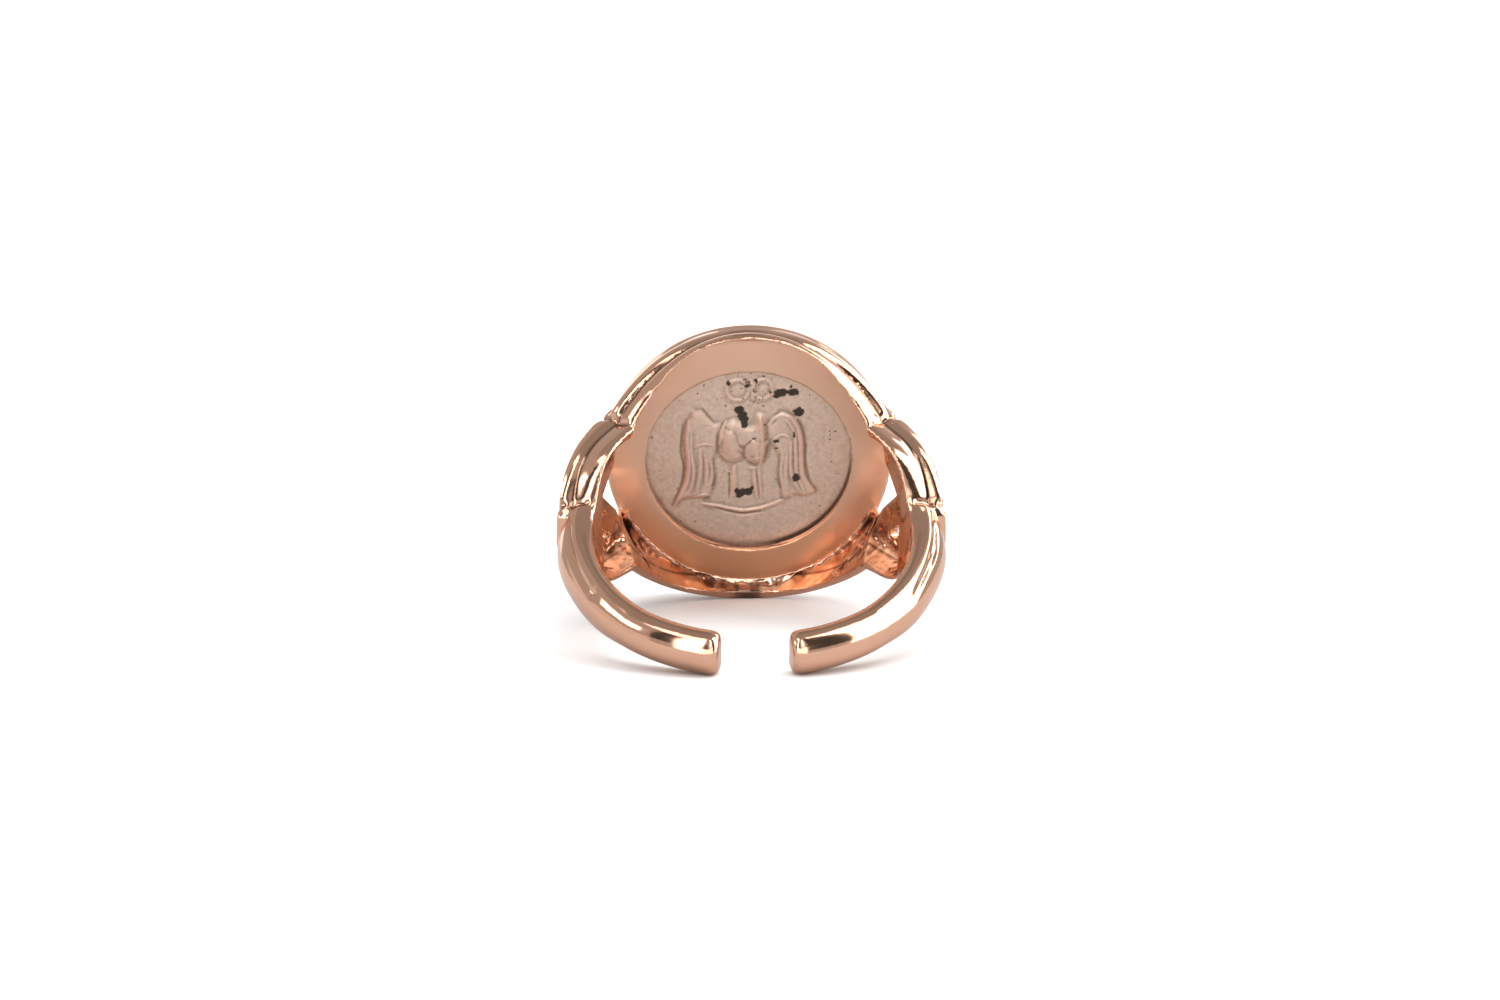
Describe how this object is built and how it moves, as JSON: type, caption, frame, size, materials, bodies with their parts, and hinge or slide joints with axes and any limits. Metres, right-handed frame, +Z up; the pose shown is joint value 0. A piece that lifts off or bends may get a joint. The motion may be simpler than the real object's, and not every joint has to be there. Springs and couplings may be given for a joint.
{
  "type": "open coin ring",
  "caption": "Open adjustable finger ring: a cast rose-gold band with hollow two-tier shoulders and a round head that holds a worn silver coin, seen from both faces.",
  "frame": {"origin": "middle of the bounding box in X and Y, on the surface the ring lies on", "axes": "+Z up, +Y from the open ends of the shank towards the head, +X to the right seen from the open ends. The ring lies on its side, so the finger axis leans back from +Z towards -Y"},
  "size_m": [0.021, 0.0224, 0.0166],
  "materials": {
    "rose_gold": "cast rose gold, polished outside, matt on the back plate",
    "old_silver": "worn struck silver with dark tarnish spots"
  },
  "bodies": {
    "root": {"ring_body": "rose_gold", "coin": "old_silver"}
  },
  "joints": []
}
